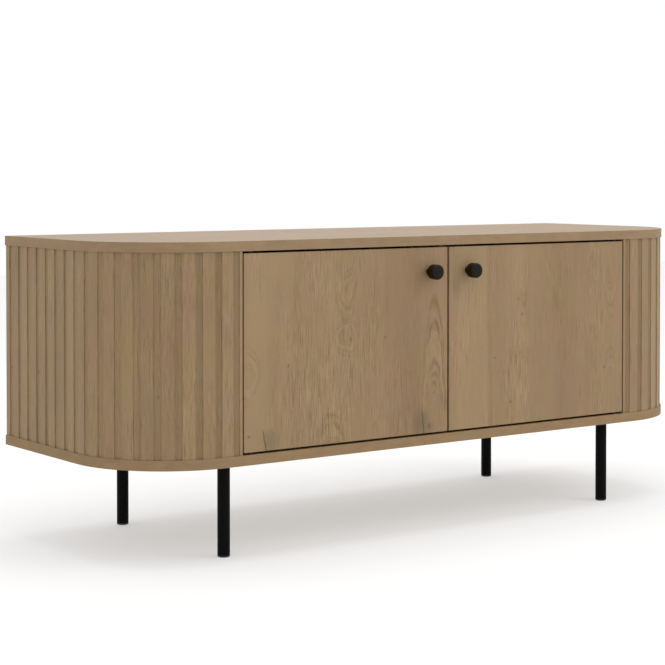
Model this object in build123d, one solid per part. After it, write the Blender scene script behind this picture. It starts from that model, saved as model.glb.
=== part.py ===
"""Media cabinet with fluted wrap-round sides, two pivoting doors and four round legs.

Millimetres. +X is to the right along the front, +Y to the back, +Z up. The origin is on
the floor, at the middle of the width and of the overall depth, knobs included.
Each node is written to parts/NODE.step.
"""

import os
from math import cos, pi, radians, sin

from build123d import *

# ---- overall sizes -------------------------------------------------------------------
CABINET_WIDTH = 1220.0
CABINET_DEPTH = 420.0            # top and bottom panels, front edge to back edge
CORNER_RADIUS = 170.0            # plan radius of the two front corners
BOARD = 16.0                     # thickness of every board
LEG_HEIGHT = 150.0               # floor to the underside of the bottom panel
OPENING_HEIGHT = 316.0           # between the bottom and top panels
EDGE_EASE = 0.6                  # softened edges of the panels

# ---- fluted sides --------------------------------------------------------------------
PANEL_OVERHANG = 2.0             # the panels stand proud of ridges and doors
DOOR_POST_X = 412.0              # the fluted skin ends here, beside the door
FLUTE_PITCH = 32.03
FLUTE_COUNT = 17
FIRST_GROOVE = 18.4              # first groove's centre line from the skin's back edge
GROOVE_MOUTH = 12.2
GROOVE_FLOOR = 11.6
GROOVE_DEPTH = 1.8
GROOVE_SOFTNESS = 0.4            # rounding of each groove's corners in plan

# ---- doors and their hardware --------------------------------------------------------
SIDE_GAP = 2.75                  # between a door and the fluted skin
CENTRE_GAP = 4.0                 # between the two doors
END_GAP = 3.5                    # above and below a door
KNOB_INSET = 40.0                # knob centre from the door's top and inner edges
KNOB_RADIUS = 12.6
KNOB_REACH = 26.0                # in front of the door
PIVOT_INSET = 16.0               # pivot axis from the door's outer edge
PIN_RADIUS = 2.5
PIN_RUN_CLEARANCE = 0.05         # radial, between pivot pin and bush
SEAT_CLEARANCE = 0.05            # radial, between any fixed peg and its hole

# ---- inside --------------------------------------------------------------------------
BACK_THICKNESS = 3.0
BACK_RECESS = 3.0                # the back panel sits this far inside the back edge
OUTLET_RADIUS = 25.0
BUMPER_THICKNESS = 0.8
BUMPER_SLACK = 0.2               # air between bumper and closed door

# ---- legs ----------------------------------------------------------------------------
LEG_RADIUS = 10.0
LEG_WALL = 1.5
LEG_X = 411.5
LEG_FROM_FRONT = 57.5
LEG_FROM_BACK = 42.0
PLATE_SIDE = 60.0
PLATE_THICKNESS = 2.5

# ---- derived places ------------------------------------------------------------------
HALF_WIDTH = CABINET_WIDTH / 2
OVERALL_DEPTH = CABINET_DEPTH + KNOB_REACH - PANEL_OVERHANG
BACK_Y = OVERALL_DEPTH / 2
FRONT_Y = BACK_Y - CABINET_DEPTH
DOOR_FRONT_Y = FRONT_Y + PANEL_OVERHANG
DOOR_BACK_Y = DOOR_FRONT_Y + BOARD
BOTTOM_TOP_Z = LEG_HEIGHT + BOARD
TOP_UNDER_Z = BOTTOM_TOP_Z + OPENING_HEIGHT
TOP_Z = TOP_UNDER_Z + BOARD
DOOR_LOW_Z = BOTTOM_TOP_Z + END_GAP
DOOR_HIGH_Z = TOP_UNDER_Z - END_GAP
DOOR_OUTER_X = DOOR_POST_X - SIDE_GAP
DOOR_INNER_X = CENTRE_GAP / 2
PIVOT_X = DOOR_OUTER_X - PIVOT_INSET
PIVOT_Y = DOOR_FRONT_Y + BOARD / 2
KNOB_X = DOOR_INNER_X + KNOB_INSET
KNOB_Z = DOOR_HIGH_Z - KNOB_INSET
SKIN_HALF = HALF_WIDTH - PANEL_OVERHANG
ARC_CENTRE_X = HALF_WIDTH - CORNER_RADIUS
ARC_CENTRE_Y = FRONT_Y + CORNER_RADIUS
RIDGE_ARC_RADIUS = CORNER_RADIUS - PANEL_OVERHANG
BACK_BOARD_Y = BACK_Y - BACK_RECESS - BACK_THICKNESS
PARTITION_FRONT_Y = DOOR_BACK_Y + BUMPER_THICKNESS + BUMPER_SLACK
SHELF_UNDER_Z = (BOTTOM_TOP_Z + TOP_UNDER_Z - BOARD) / 2

SIDES = {"left": -1, "right": 1}


# ---- helpers -------------------------------------------------------------------------
def block(low, high):
    """Axis-aligned block between two opposite corners."""
    size = [high[i] - low[i] for i in range(3)]
    middle = [(high[i] + low[i]) / 2 for i in range(3)]
    return Pos(*middle) * Box(*size)


def mirrored_block(side, low, high):
    """Block given for the right-hand half, placed on the side asked for."""
    xs = sorted((side * low[0], side * high[0]))
    return block((xs[0], low[1], low[2]), (xs[1], high[1], high[2]))


def rod(radius, start, direction, length):
    """Round bar from a start point along +X, -X, +Y, -Y, +Z or -Z."""
    plane = Plane(origin=start, z_dir=direction)
    return plane * Cylinder(radius, length, align=(Align.CENTER, Align.CENTER, Align.MIN))


def turned(profile, start, direction):
    """Solid of revolution about a local Z axis; profile is a list of (radius, height)."""
    outline = Polyline(*[(r, 0, h) for r, h in profile], close=True)
    solid = revolve(make_face(outline), Axis.Z)
    return Plane(origin=start, z_dir=direction) * solid


def cut_all(body, tools):
    """Body with every tool removed."""
    for tool in tools:
        body = body - tool
    return body


def write(node, shape):
    """One STEP file per node; loose solids of one node go in together."""
    if isinstance(shape, list):
        shape = Compound(children=shape)
    export_step(shape, f"parts/{node}.step")


# ---- where the fasteners sit ---------------------------------------------------------
BOARD_ROWS_X = {                 # centre lines of the upright boards
    "left": -(DOOR_POST_X + BOARD / 2),
    "centre": 0.0,
    "right": DOOR_POST_X + BOARD / 2,
}
DOWEL_RADIUS = 4.0
DOWEL_IN_PANEL = 10.0
DOWEL_IN_BOARD = 20.0
DOWEL_ROWS_Y = (-50.0, 85.0)
CONFIRMAT_ROWS_Y = (-90.0, 125.0)
CONFIRMAT_LENGTH = 50.0
CONFIRMAT_HEAD_RADIUS = 4.8
CONFIRMAT_NECK_RADIUS = 3.4
CONFIRMAT_THREAD_RADIUS = 2.4
CAM_ROWS_Y = (-145.0, 185.0)
CAM_DROP = 34.0                  # bottom of the cam bolt below the board's top end
CAM_CENTRE_DROP = 32.0           # cam centre below the board's top end
CAM_RADIUS = 7.5
CAM_DEPTH = 12.5
CAM_SLOT = (9.0, 1.4, 2.0)       # each arm of the cross slot: length, width, depth
BOLT_HEAD_RADIUS = 3.4
BOLT_NECK_RADIUS = 2.0
BOLT_THREAD_RADIUS = 2.9
BOLT_IN_PANEL = 11.0
SKIN_DOWEL_Y = (-20.0, 80.0, 180.0)
SKIN_DOWEL_RADIAL = SKIN_HALF - BOARD / 2 - 1.0
SKIN_DOWEL_ANGLES = (30.0, 65.0)


def skin_peg_points(side):
    """Plan points along the middle of the fluted skin's thickness."""
    points = [(side * SKIN_DOWEL_RADIAL, y) for y in SKIN_DOWEL_Y]
    radius = SKIN_DOWEL_RADIAL - ARC_CENTRE_X
    for angle in SKIN_DOWEL_ANGLES:
        reach_x = ARC_CENTRE_X + radius * cos(radians(angle))
        reach_y = ARC_CENTRE_Y - radius * sin(radians(angle))
        points.append((side * reach_x, reach_y))
    return points


def dowel_points():
    """Plan points of every dowel."""
    points = [(x, y) for x in BOARD_ROWS_X.values() for y in DOWEL_ROWS_Y]
    for side in SIDES.values():
        points += skin_peg_points(side)
    return points


def dowels(radius):
    """Dowels at both ends of every upright piece."""
    length = DOWEL_IN_PANEL + DOWEL_IN_BOARD
    solids = []
    for x, y in dowel_points():
        solids.append(rod(radius, (x, y, BOTTOM_TOP_Z - DOWEL_IN_PANEL), (0, 0, 1), length))
        solids.append(rod(radius, (x, y, TOP_UNDER_Z + DOWEL_IN_PANEL), (0, 0, -1), length))
    return solids


def confirmat_points():
    """Plan points of the long screws that hold the bottom panel to the boards."""
    return [(x, y) for x in BOARD_ROWS_X.values() for y in CONFIRMAT_ROWS_Y]


def confirmat(x, y, grow):
    """Long furniture screw driven up through the bottom panel; grow widens it for a hole."""
    head = CONFIRMAT_HEAD_RADIUS + grow
    neck = CONFIRMAT_NECK_RADIUS + grow
    thread = CONFIRMAT_THREAD_RADIUS + grow
    tip = CONFIRMAT_LENGTH + grow
    profile = [(0, 0), (head, 0), (head, 1.2), (neck, 4.0), (neck, 12.0),
               (thread, 13.0), (thread, tip - 2.0), (0, tip)]
    return turned(profile, (x, y, LEG_HEIGHT), (0, 0, 1))


def cam_points():
    """Each cam's board centre line, its row, and the face of the board it is set in."""
    points = []
    for name, x in BOARD_ROWS_X.items():
        inward = -1 if name == "right" else 1
        for y in CAM_ROWS_Y:
            points.append((x, y, inward))
    return points


def cam_bolt(x, y, grow):
    """Steel bolt screwed up into the top panel, reaching down to its cam."""
    head_z = TOP_UNDER_Z - CAM_DROP
    head = BOLT_HEAD_RADIUS + grow
    neck = BOLT_NECK_RADIUS + grow
    thread = BOLT_THREAD_RADIUS + grow
    end = CAM_DROP + BOLT_IN_PANEL
    profile = [(0, 0), (head, 0), (head, 2.6), (neck, 3.6), (neck, 6.0),
               (head, 7.0), (head, CAM_DROP), (thread, CAM_DROP), (thread, end), (0, end)]
    return turned(profile, (x, y, head_z), (0, 0, 1))


def cam_lock(x, y, inward):
    """Round cam in the board's face, with its cross slot and the throat its bolt enters."""
    face_x = x + inward * BOARD / 2
    middle_z = TOP_UNDER_Z - CAM_CENTRE_DROP
    drum = rod(CAM_RADIUS, (face_x, y, middle_z), (-inward, 0, 0), CAM_DEPTH)
    slot_length, slot_width, slot_depth = CAM_SLOT
    slot_at = Pos(face_x - inward * slot_depth / 2, y, middle_z)
    slots = [slot_at * Box(slot_depth, slot_length, slot_width),
             slot_at * Box(slot_depth, slot_width, slot_length)]
    room = 0.2                   # air round the bolt's head inside the cam
    throat_start = (x, y, TOP_UNDER_Z - CAM_DROP - room)
    throat = rod(BOLT_HEAD_RADIUS + room, throat_start, (0, 0, 1), CAM_DROP)
    return cut_all(drum, slots + [throat])


def cam_seat(x, y, inward):
    """The round pocket in the board's face that a cam drops into."""
    face_x = x + inward * BOARD / 2
    middle_z = TOP_UNDER_Z - CAM_CENTRE_DROP
    depth = CAM_DEPTH + 0.5
    return rod(CAM_RADIUS + SEAT_CLEARANCE, (face_x, y, middle_z), (-inward, 0, 0), depth)


# ---- carcass -------------------------------------------------------------------------
def panel_outline():
    """Plan of the top and bottom panels: square behind, rounded in front."""
    corner = CORNER_RADIUS
    left_arc = ThreePointArc(
        (-HALF_WIDTH, FRONT_Y + corner),
        (-ARC_CENTRE_X - corner * cos(pi / 4), ARC_CENTRE_Y - corner * sin(pi / 4)),
        (-ARC_CENTRE_X, FRONT_Y))
    right_arc = ThreePointArc(
        (ARC_CENTRE_X, FRONT_Y),
        (ARC_CENTRE_X + corner * cos(pi / 4), ARC_CENTRE_Y - corner * sin(pi / 4)),
        (HALF_WIDTH, FRONT_Y + corner))
    edges = [Line((-HALF_WIDTH, BACK_Y), (-HALF_WIDTH, FRONT_Y + corner)), left_arc,
             Line((-ARC_CENTRE_X, FRONT_Y), (ARC_CENTRE_X, FRONT_Y)), right_arc,
             Line((HALF_WIDTH, FRONT_Y + corner), (HALF_WIDTH, BACK_Y)),
             Line((HALF_WIDTH, BACK_Y), (-HALF_WIDTH, BACK_Y))]
    return make_face(edges)


def eased_panel(low_z):
    """A panel with its long edges just softened."""
    panel = Pos(0, 0, low_z) * extrude(panel_outline(), BOARD)
    rims = panel.edges().filter_by(GeomType.LINE).filter_by(Axis.Z, reverse=True)
    rims = rims + panel.edges().filter_by(GeomType.CIRCLE)
    return fillet(rims, EDGE_EASE)


def top_panel():
    holes = [rod(DOWEL_RADIUS + SEAT_CLEARANCE, (x, y, TOP_UNDER_Z), (0, 0, 1),
                 DOWEL_IN_PANEL + 1.0) for x, y in dowel_points()]
    holes += [cam_bolt(x, y, SEAT_CLEARANCE) for x, y, _ in cam_points()]
    holes += [pivot_pin(side, 1, SEAT_CLEARANCE) for side in SIDES.values()]
    holes += [screw for side in SIDES.values() for screw in catch_screws(side, SEAT_CLEARANCE)]
    return cut_all(eased_panel(TOP_UNDER_Z), holes)


def bottom_panel():
    holes = [rod(DOWEL_RADIUS + SEAT_CLEARANCE, (x, y, BOTTOM_TOP_Z), (0, 0, -1),
                 DOWEL_IN_PANEL + 1.0) for x, y in dowel_points()]
    holes += [confirmat(x, y, SEAT_CLEARANCE) for x, y in confirmat_points()]
    holes += [pivot_pin(side, -1, SEAT_CLEARANCE) for side in SIDES.values()]
    for x, y in leg_points().values():
        stud_hole = STUD_RADIUS + STUD_CLEARANCE
        holes.append(rod(stud_hole, (x, y, LEG_HEIGHT), (0, 0, 1), STUD_REACH + 0.2))
        holes += [plate_screw(sx, sy, SEAT_CLEARANCE) for sx, sy in plate_screw_points(x, y)]
    return cut_all(eased_panel(LEG_HEIGHT), holes)


def skin_outline(side):
    """Plan of a fluted skin before grooving: side run, quarter turn, short front run."""
    turn = cos(pi / 4)
    outer = RIDGE_ARC_RADIUS
    inner = RIDGE_ARC_RADIUS - BOARD
    front = DOOR_FRONT_Y

    def arc(radius, start, end):
        middle = (side * (ARC_CENTRE_X + radius * turn), ARC_CENTRE_Y - radius * turn)
        return ThreePointArc(start, middle, end)

    side_out = (side * SKIN_HALF, ARC_CENTRE_Y)
    front_out = (side * ARC_CENTRE_X, front)
    side_in = (side * (SKIN_HALF - BOARD), ARC_CENTRE_Y)
    front_in = (side * ARC_CENTRE_X, front + BOARD)
    edges = [Line((side * SKIN_HALF, BACK_Y), side_out), arc(outer, side_out, front_out),
             Line(front_out, (side * DOOR_POST_X, front)),
             Line((side * DOOR_POST_X, front), (side * DOOR_POST_X, front + BOARD)),
             Line((side * DOOR_POST_X, front + BOARD), front_in), arc(inner, front_in, side_in),
             Line(side_in, (side * (SKIN_HALF - BOARD), BACK_Y)),
             Line((side * (SKIN_HALF - BOARD), BACK_Y), (side * SKIN_HALF, BACK_Y))]
    return make_face(edges)


def skin_point(distance):
    """Point and outward direction on the right-hand skin, at a distance from its back edge."""
    side_run = BACK_Y - ARC_CENTRE_Y
    turn_run = RIDGE_ARC_RADIUS * pi / 2
    if distance < side_run:
        return (SKIN_HALF, BACK_Y - distance), 0.0
    if distance < side_run + turn_run:
        angle = (distance - side_run) / RIDGE_ARC_RADIUS
        x = ARC_CENTRE_X + RIDGE_ARC_RADIUS * cos(angle)
        y = ARC_CENTRE_Y - RIDGE_ARC_RADIUS * sin(angle)
        return (x, y), -angle
    return (ARC_CENTRE_X - (distance - side_run - turn_run), DOOR_FRONT_Y), -pi / 2


def groove_outline(side, distance):
    """Plan of one groove before rounding: a shallow channel with nearly upright walls."""
    (x, y), heading = skin_point(distance)
    out = (cos(heading), sin(heading))
    along = (-out[1], out[0])
    proud = 1.5                  # the cutter starts outside the skin
    lean = (GROOVE_MOUTH - GROOVE_FLOOR) / 2 / GROOVE_DEPTH
    half_top = GROOVE_MOUTH / 2 + proud * lean
    corners = []
    for offset, rise in ((-half_top, proud), (half_top, proud),
                         (GROOVE_FLOOR / 2, -GROOVE_DEPTH), (-GROOVE_FLOOR / 2, -GROOVE_DEPTH)):
        px = x + along[0] * offset + out[0] * rise
        py = y + along[1] * offset + out[1] * rise
        corners.append((side * px, py))
    return make_face(Polyline(*corners, close=True))


def fluted_side(side):
    """One wrap-round fluted skin, grooves spaced evenly from its back edge."""
    smooth = skin_outline(side)
    plan = smooth
    for index in range(FLUTE_COUNT):
        plan = plan - groove_outline(side, FIRST_GROOVE + index * FLUTE_PITCH)
    old_corners = [corner.center() for corner in smooth.vertices()]
    groove_corners = [corner for corner in plan.vertices()
                      if min((corner.center() - old).length for old in old_corners) > 0.01]
    plan = fillet(groove_corners, GROOVE_SOFTNESS)
    skin = Pos(0, 0, BOTTOM_TOP_Z) * extrude(plan, OPENING_HEIGHT)
    return cut_all(skin, dowels(DOWEL_RADIUS + SEAT_CLEARANCE))


def upright_cuts():
    """Everything bored into the inner sides and the partition."""
    cuts = dowels(DOWEL_RADIUS + SEAT_CLEARANCE)
    cuts += [confirmat(x, y, SEAT_CLEARANCE) for x, y in confirmat_points()]
    cuts += [cam_bolt(x, y, SEAT_CLEARANCE + 0.2) for x, y, _ in cam_points()]
    cuts += [cam_seat(x, y, inward) for x, y, inward in cam_points()]
    cuts += shelf_pins(SEAT_CLEARANCE)
    cuts += back_screws(SEAT_CLEARANCE)
    return cuts


def inner_side(side):
    """Upright board behind the door's hinge edge, between the two panels."""
    low = (DOOR_POST_X, DOOR_BACK_Y, BOTTOM_TOP_Z)
    high = (DOOR_POST_X + BOARD, BACK_BOARD_Y, TOP_UNDER_Z)
    return cut_all(mirrored_block(side, low, high), upright_cuts())


def centre_partition():
    """Upright board behind the meeting edges of the doors."""
    low = (-BOARD / 2, PARTITION_FRONT_Y, BOTTOM_TOP_Z)
    high = (BOARD / 2, BACK_BOARD_Y, TOP_UNDER_Z)
    return cut_all(block(low, high), upright_cuts())


# ---- back ----------------------------------------------------------------------------
OUTLET_X = 210.0
OUTLET_Z = 405.0
BACK_SCREW_ROWS_Z = (190.0, 270.0, 378.0, 458.0)
BACK_SCREW_LENGTH = 19.0
BACK_SCREW_RADIUS = 1.5
BACK_SCREW_HEAD_RADIUS = 3.4
BACK_SCREW_HEAD_HEIGHT = 2.0
BACK_SCREW_OFF_CENTRE = 4.5      # the two middle columns, either side of the join
BACK_JOIN_GAP = 1.0
BACK_FIT = 0.5                   # the back halves are cut this much short at each end


def back_panel(side):
    """Half of the thin back, recessed between the skins, with its cable outlet."""
    low = (BACK_JOIN_GAP / 2, BACK_BOARD_Y, BOTTOM_TOP_Z + BACK_FIT)
    high = (SKIN_HALF - BOARD - BACK_FIT, BACK_BOARD_Y + BACK_THICKNESS, TOP_UNDER_Z - BACK_FIT)
    outlet_start = (side * OUTLET_X, BACK_BOARD_Y - 1.0, OUTLET_Z)
    outlet = rod(OUTLET_RADIUS, outlet_start, (0, 1, 0), BACK_THICKNESS + 2.0)
    return cut_all(mirrored_block(side, low, high), [outlet] + back_screws(SEAT_CLEARANCE))


def back_screws(grow):
    """Pan-head screws through the back panel into the boards' back edges."""
    tip_y = BACK_BOARD_Y + BACK_THICKNESS - BACK_SCREW_LENGTH
    shank = BACK_SCREW_RADIUS + grow
    head = BACK_SCREW_HEAD_RADIUS + grow
    top = BACK_SCREW_LENGTH + BACK_SCREW_HEAD_HEIGHT
    profile = [(0, 0), (shank, 2.0), (shank, BACK_SCREW_LENGTH), (head, BACK_SCREW_LENGTH),
               (head, top - 0.8), (head - 1.0, top), (0, top)]
    columns = [BOARD_ROWS_X["left"], -BACK_SCREW_OFF_CENTRE, BACK_SCREW_OFF_CENTRE,
               BOARD_ROWS_X["right"]]
    return [turned(profile, (x, tip_y, z), (0, 1, 0))
            for x in columns for z in BACK_SCREW_ROWS_Z]


# ---- shelves -------------------------------------------------------------------------
SHELF_SIDE_PLAY = 1.0
SHELF_FRONT_Y = -165.0
SHELF_BACK_PLAY = 2.0
SHELF_PIN_RADIUS = 2.5
SHELF_PIN_SEAT = 8.0
SHELF_PIN_REACH = 8.0
SHELF_PIN_ROWS_Y = (-130.0, 170.0)
SHELF_PIN_STAGGER = 12.0         # keeps the partition's left and right pins apart


def shelf(side):
    """Loose shelf resting on four pins."""
    low = (BOARD / 2 + SHELF_SIDE_PLAY, SHELF_FRONT_Y, SHELF_UNDER_Z)
    high = (DOOR_POST_X - SHELF_SIDE_PLAY, BACK_BOARD_Y - SHELF_BACK_PLAY, SHELF_UNDER_Z + BOARD)
    board = mirrored_block(side, low, high)
    return fillet(board.edges().filter_by(Axis.X), EDGE_EASE)


def shelf_pins(grow):
    """Shelf support pins; the partition's two sides are pinned at staggered depths."""
    length = SHELF_PIN_SEAT + SHELF_PIN_REACH
    pin_z = SHELF_UNDER_Z - SHELF_PIN_RADIUS
    pins = []
    for side in SIDES.values():
        for y in SHELF_PIN_ROWS_Y:
            start = (side * (DOOR_POST_X + SHELF_PIN_SEAT + grow), y, pin_z)
            pins.append(rod(SHELF_PIN_RADIUS + grow, start, (-side, 0, 0), length + grow))
            seat_x = side * (BOARD / 2 - SHELF_PIN_SEAT + 1.0)
            start = (seat_x, y + side * SHELF_PIN_STAGGER, pin_z)
            pins.append(rod(SHELF_PIN_RADIUS + grow, start, (side, 0, 0), length - 1.0))
    return pins


# ---- doors ---------------------------------------------------------------------------
BUSH_RADIUS = 4.0
BUSH_LENGTH = 12.0
FLANGE_RADIUS = 5.5
FLANGE_THICKNESS = 1.0
PIN_SEAT = 11.0                  # how far a pivot pin goes into its panel
PIN_ENGAGE = 9.0                 # how far it reaches into the door's bush
COLLAR_RADIUS = 5.0
COLLAR_AIR = 0.15                # between a pin's collar and the bush flange
PIN_CHAMFER = 0.8
KNOB_FOOT_RADIUS = 5.8
KNOB_WAIST_RADIUS = 4.7
KNOB_SCREW_RADIUS = 2.0
KNOB_SCREW_DEPTH = 12.0          # how far it reaches into the knob
KNOB_SCREW_HEAD_RADIUS = 3.9
KNOB_SCREW_HEAD_HEIGHT = 2.4
BUMPER_RADIUS = 3.0
BUMPER_OFFSET = 4.6              # from the partition's centre plane
BUMPER_FROM_LOW_END = 40.0
BUMPER_FROM_HIGH_END = 60.0


def door(side):
    """Flat door with its bush sockets, knob hole and strike plate screw holes."""
    low = (DOOR_INNER_X, DOOR_FRONT_Y, DOOR_LOW_Z)
    high = (DOOR_OUTER_X, DOOR_BACK_Y, DOOR_HIGH_Z)
    leaf = mirrored_block(side, low, high)
    leaf = fillet(leaf.edges(), EDGE_EASE)
    cuts = bush_sockets(side)
    hole_start = (side * KNOB_X, DOOR_FRONT_Y - 1.0, KNOB_Z)
    cuts.append(rod(KNOB_SCREW_RADIUS + 0.25, hole_start, (0, 1, 0), BOARD + 2.0))
    cuts += strike_screws(side, SEAT_CLEARANCE)
    return cut_all(leaf, cuts)


def bush_profile(grow):
    """Half section of a bush as a plain plug, flange outermost."""
    return [(0, 0), (FLANGE_RADIUS + grow, 0), (FLANGE_RADIUS + grow, FLANGE_THICKNESS),
            (BUSH_RADIUS + grow, FLANGE_THICKNESS), (BUSH_RADIUS + grow, BUSH_LENGTH + grow),
            (0, BUSH_LENGTH + grow)]


def bush_sockets(side):
    """Sockets in a door's two ends."""
    return [turned(bush_profile(SEAT_CLEARANCE), (side * PIVOT_X, PIVOT_Y, DOOR_LOW_Z), (0, 0, 1)),
            turned(bush_profile(SEAT_CLEARANCE), (side * PIVOT_X, PIVOT_Y, DOOR_HIGH_Z), (0, 0, -1))]


def door_bushes(side):
    """Nylon bushes in a door's top and bottom ends."""
    bushes = []
    for z, up in ((DOOR_LOW_Z, 1), (DOOR_HIGH_Z, -1)):
        centre = (side * PIVOT_X, PIVOT_Y, z)
        plug = turned(bush_profile(0), centre, (0, 0, up))
        bore = rod(PIN_RADIUS + PIN_RUN_CLEARANCE, centre, (0, 0, up), BUSH_LENGTH)
        bushes.append(plug - bore)
    return bushes


def pivot_pin(side, end, grow):
    """Collared steel pin: end is 1 in the top panel, -1 in the bottom panel."""
    face_z = TOP_UNDER_Z if end == 1 else BOTTOM_TOP_Z
    collar = END_GAP - COLLAR_AIR
    tip = END_GAP + PIN_ENGAGE
    profile = [(0, -PIN_SEAT - grow), (PIN_RADIUS + grow, -PIN_SEAT - grow),
               (PIN_RADIUS + grow, 0), (COLLAR_RADIUS, 0), (COLLAR_RADIUS, collar),
               (PIN_RADIUS, collar), (PIN_RADIUS, tip - PIN_CHAMFER),
               (PIN_RADIUS - PIN_CHAMFER, tip), (0, tip)]
    return turned(profile, (side * PIVOT_X, PIVOT_Y, face_z), (0, 0, -end))


def pivot_pins():
    """Both doors' pins."""
    return [pivot_pin(side, end, 0) for side in SIDES.values() for end in (1, -1)]


def knob(side):
    """Turned knob: small foot, back flaring like a cone, straight side and crowned face."""
    cone_end = KNOB_RADIUS - 1.0
    crown_edge = KNOB_RADIUS - 3.2
    side_start = 12.4
    side_end = KNOB_REACH - 3.4
    with BuildSketch(Plane.XZ) as section:
        with BuildLine():
            Line((0, 0), (KNOB_FOOT_RADIUS, 0))
            Line((KNOB_FOOT_RADIUS, 0), (KNOB_FOOT_RADIUS, 0.8))
            Bezier((KNOB_FOOT_RADIUS, 0.8), (KNOB_WAIST_RADIUS, 1.0), (KNOB_WAIST_RADIUS, 2.4))
            Bezier((KNOB_WAIST_RADIUS, 2.4), (KNOB_WAIST_RADIUS, 4.4), (cone_end - 2.6, 7.0),
                   (cone_end, 9.6))
            Bezier((cone_end, 9.6), (KNOB_RADIUS - 0.35, 10.3), (KNOB_RADIUS, 11.2),
                   (KNOB_RADIUS, side_start))
            Line((KNOB_RADIUS, side_start), (KNOB_RADIUS, side_end))
            Bezier((KNOB_RADIUS, side_end), (KNOB_RADIUS, side_end + 2.0),
                   (KNOB_RADIUS - 1.2, side_end + 2.8), (crown_edge, side_end + 3.0))
            Bezier((crown_edge, side_end + 3.0), (crown_edge * 0.6, KNOB_REACH),
                   (crown_edge * 0.3, KNOB_REACH), (0, KNOB_REACH))
            Line((0, KNOB_REACH), (0, 0))
        make_face()
    solid = revolve(section.sketch, Axis.Z)
    tapped = Cylinder(KNOB_SCREW_RADIUS + SEAT_CLEARANCE, KNOB_SCREW_DEPTH + 0.5,
                      align=(Align.CENTER, Align.CENTER, Align.MIN))
    placed = Plane(origin=(side * KNOB_X, DOOR_FRONT_Y, KNOB_Z), z_dir=(0, -1, 0))
    return placed * (solid - tapped)


def knob_screw(side):
    """Machine screw from behind the door into the knob."""
    shank = BOARD + KNOB_SCREW_DEPTH
    head = KNOB_SCREW_HEAD_RADIUS
    height = KNOB_SCREW_HEAD_HEIGHT
    profile = [(0, -height), (head - 1.1, -height), (head, -height / 2), (head, 0),
               (KNOB_SCREW_RADIUS, 0), (KNOB_SCREW_RADIUS, shank), (0, shank)]
    screw = turned(profile, (side * KNOB_X, DOOR_BACK_Y, KNOB_Z), (0, -1, 0))
    slot_at = Pos(side * KNOB_X, DOOR_BACK_Y + height, KNOB_Z)
    slots = [slot_at * Box(4.0, height, 0.9), slot_at * Box(0.9, height, 4.0)]
    return cut_all(screw, slots)


def door_bumpers():
    """Small rubber dots on the partition's front edge, two for each door."""
    profile = [(0, 0), (BUMPER_RADIUS, 0), (BUMPER_RADIUS, BUMPER_THICKNESS / 2),
               (BUMPER_RADIUS - 0.6, BUMPER_THICKNESS), (0, BUMPER_THICKNESS)]
    dots = []
    for side in SIDES.values():
        for z in (DOOR_LOW_Z + BUMPER_FROM_LOW_END, DOOR_HIGH_Z - BUMPER_FROM_HIGH_END):
            start = (side * BUMPER_OFFSET, PARTITION_FRONT_Y, z)
            dots.append(turned(profile, start, (0, -1, 0)))
    return dots


# ---- magnetic catches ----------------------------------------------------------------
CATCH_X = 40.0                   # centre of the catch from the middle of the cabinet
CATCH_WIDTH = 26.0
CATCH_HEIGHT = 13.0
CATCH_DEPTH = 16.0
WING_LENGTH = 46.0
WING_DEPTH = 9.6
WING_THICKNESS = 3.0
WING_CORNER = 3.0
CATCH_SCREW_OFFSET = 17.5
CATCH_SCREW_RADIUS = 1.5
CATCH_SCREW_LENGTH = 13.5
MAGNET_SIZE = (20.0, 8.0, 8.0)
STRIKE_SIZE = (34.0, 1.0, 11.0)
STRIKE_DROP = 8.0                # plate centre below the door's top end
STRIKE_SCREW_OFFSET = 12.5
STRIKE_SCREW_RADIUS = 1.3
STRIKE_SCREW_LENGTH = 10.5
MAGNET_AIR = 0.4                 # between the magnet's face and the strike plate
CATCH_FRONT_Y = DOOR_BACK_Y + STRIKE_SIZE[1] + MAGNET_AIR
WING_MIDDLE_Y = CATCH_FRONT_Y + CATCH_DEPTH * 0.6


def magnet_block(side, grow):
    """Magnet in the front of a catch; grow widens it for its pocket."""
    width, depth, height = MAGNET_SIZE
    middle = (side * CATCH_X, CATCH_FRONT_Y + depth / 2, TOP_UNDER_Z - CATCH_HEIGHT / 2)
    return Pos(*middle) * Box(width + 2 * grow, depth, height + 2 * grow)


def magnet_catch(side):
    """Plastic catch housing screwed up under the top panel."""
    body_middle = (side * CATCH_X, CATCH_FRONT_Y + CATCH_DEPTH / 2, TOP_UNDER_Z - CATCH_HEIGHT / 2)
    body = Pos(*body_middle) * Box(CATCH_WIDTH, CATCH_DEPTH, CATCH_HEIGHT)
    body = fillet(body.edges().filter_by(Axis.Y).sort_by(Axis.Z)[:2], 1.5)
    wing_middle = (side * CATCH_X, WING_MIDDLE_Y, TOP_UNDER_Z - WING_THICKNESS / 2)
    wing = Pos(*wing_middle) * Box(WING_LENGTH, WING_DEPTH, WING_THICKNESS)
    wing = fillet(wing.edges().filter_by(Axis.Z), WING_CORNER)
    cuts = [magnet_block(side, SEAT_CLEARANCE)] + catch_screws(side, SEAT_CLEARANCE)
    return cut_all(body + wing, cuts)


def catch_screws(side, grow):
    """Wood screws through the catch's wings."""
    shank = CATCH_SCREW_RADIUS + grow
    head = 2 * CATCH_SCREW_RADIUS + grow
    profile = [(0, -1.6), (head - 0.8, -1.6), (head, -0.8), (head, 0), (shank, 0),
               (shank, CATCH_SCREW_LENGTH - 2.5), (0, CATCH_SCREW_LENGTH)]
    head_z = TOP_UNDER_Z - WING_THICKNESS
    return [turned(profile, (side * CATCH_X + offset, WING_MIDDLE_Y, head_z), (0, 0, 1))
            for offset in (-CATCH_SCREW_OFFSET, CATCH_SCREW_OFFSET)]


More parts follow.
